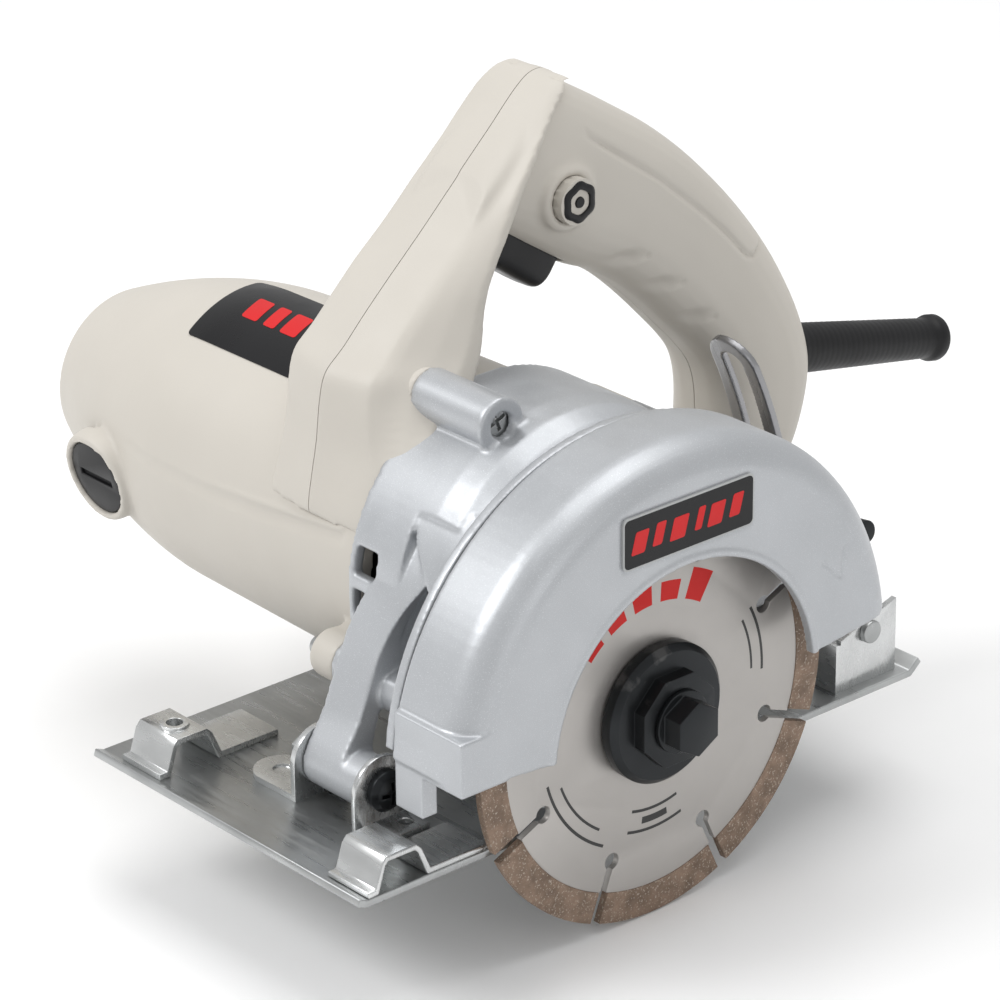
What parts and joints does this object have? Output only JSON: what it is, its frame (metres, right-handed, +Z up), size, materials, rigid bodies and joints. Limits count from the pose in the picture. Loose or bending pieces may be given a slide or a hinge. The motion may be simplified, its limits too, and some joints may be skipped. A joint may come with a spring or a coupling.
{
  "type": "hand-held stone cutter",
  "caption": "Hand-held masonry cutter with a segmented diamond blade, a half guard, a loop handle and a hinged base plate with a depth clamp.",
  "frame": {"origin": "on the underside of the base plate, straight below the arbor, in the split plane between the motor housing and the gear housing", "axes": "+X along the motor and arbor axes towards the blade, -Y in the cutting direction, +Z up"},
  "size_m": [0.2195, 0.2641, 0.1893],
  "materials": {
    "housing_plastic": "fine grained moulded nylon, satin",
    "black_plastic": "satin black",
    "inner_plastic": "moulded insulating plastic",
    "silver_cast": "die casting under satin silver paint",
    "black_steel": "black oxide",
    "zinc_steel": "zinc plated sheet",
    "bearing_steel": "ground",
    "shaft_steel": "turned",
    "lamination": "stacked electrical sheet",
    "copper": "copper wire and bars",
    "carbon": "pressed carbon",
    "blade_steel": "lightly worn satin",
    "diamond_bond": "sintered metal bond with grit",
    "label_black": "printed film",
    "rubber_black": "moulded rubber"
  },
  "bodies": {
    "housing": {"motor_housing": "housing_plastic", "rear_armature_bearing": "bearing_steel", "brush_holders": "inner_plastic", "carbon_brushes": "carbon", "brush_caps": "black_plastic", "field_core": "lamination", "field_coils": "copper", "fan_baffle": "inner_plastic", "motor_label": "label_black", "gear_housing": "silver_cast", "housing_screws": "black_steel", "front_armature_bearing": "bearing_steel", "spindle_needle_bearing": "bearing_steel", "bearing_box": "silver_cast", "bearing_box_screws": "black_steel", "spindle_ball_bearing": "bearing_steel", "blade_guard": "silver_cast", "guard_screws": "black_steel", "guard_label": "label_black", "handle_shell_left": "housing_plastic", "handle_shell_right": "housing_plastic", "handle_inlay": "housing_plastic", "handle_screws": "black_steel", "switch_body": "inner_plastic", "cord_clamp": "inner_plastic", "cord_guard": "rubber_black", "depth_bolt": "zinc_steel"},
    "armature": {"armature_shaft": "shaft_steel", "armature_core": "lamination", "armature_windings": "copper", "commutator": "copper", "fan": "inner_plastic"},
    "blade_spindle": {"spindle": "shaft_steel", "driven_gear": "shaft_steel", "gear_key": "shaft_steel", "inner_flange": "black_steel", "blade_core": "blade_steel", "blade_segments": "diamond_bond", "outer_flange": "black_steel", "arbor_bolt": "black_steel"},
    "base": {"base_plate": "zinc_steel", "pivot_bracket_left": "zinc_steel", "pivot_bracket_right": "zinc_steel", "pivot_bolt": "black_steel", "pivot_nut": "zinc_steel", "fence_strap_left": "zinc_steel", "fence_strap_right": "zinc_steel", "depth_strip": "zinc_steel", "rear_bracket": "zinc_steel", "rear_bracket_screw": "zinc_steel"},
    "trigger": {"trigger": "black_plastic"},
    "lock_button": {"lock_button": "black_plastic"},
    "clamp_lever": {"clamp_lever": "black_steel"}
  },
  "joints": [
    {"name": "motor_spin", "type": "hinge", "parent": "housing", "child": "armature", "pos_m": [0, -0.003, 0.04883], "axis": [1, 0, 0], "continuous": true},
    {"name": "blade_spin", "type": "hinge", "parent": "housing", "child": "blade_spindle", "pos_m": [0.055, 0, 0.023], "axis": [1, 0, 0], "continuous": true},
    {"name": "depth_hinge", "type": "hinge", "parent": "housing", "child": "base", "pos_m": [0, -0.0605, 0.0115], "axis": [1, 0, 0], "range_deg": [-18, 0]},
    {"name": "trigger_squeeze", "type": "slide", "parent": "housing", "child": "trigger", "axis": [0, 0.5519, 0.8339], "range_m": [0, 0.005], "stiffness_N_per_m": 1500, "springref_m": -0.002},
    {"name": "lock_press", "type": "slide", "parent": "housing", "child": "lock_button", "axis": [-1, 0, 0], "range_m": [0, 0.003], "stiffness_N_per_m": 1000, "springref_m": -0.001},
    {"name": "clamp_turn", "type": "hinge", "parent": "housing", "child": "clamp_lever", "pos_m": [0.0045, 0.0935, 0.02905], "axis": [0, 0.9936, 0.1132], "range_deg": [-80, 0]}
  ],
  "couplings": [
    {"joint": "blade_spin", "follows": "motor_spin", "ratio": -0.48571}
  ]
}
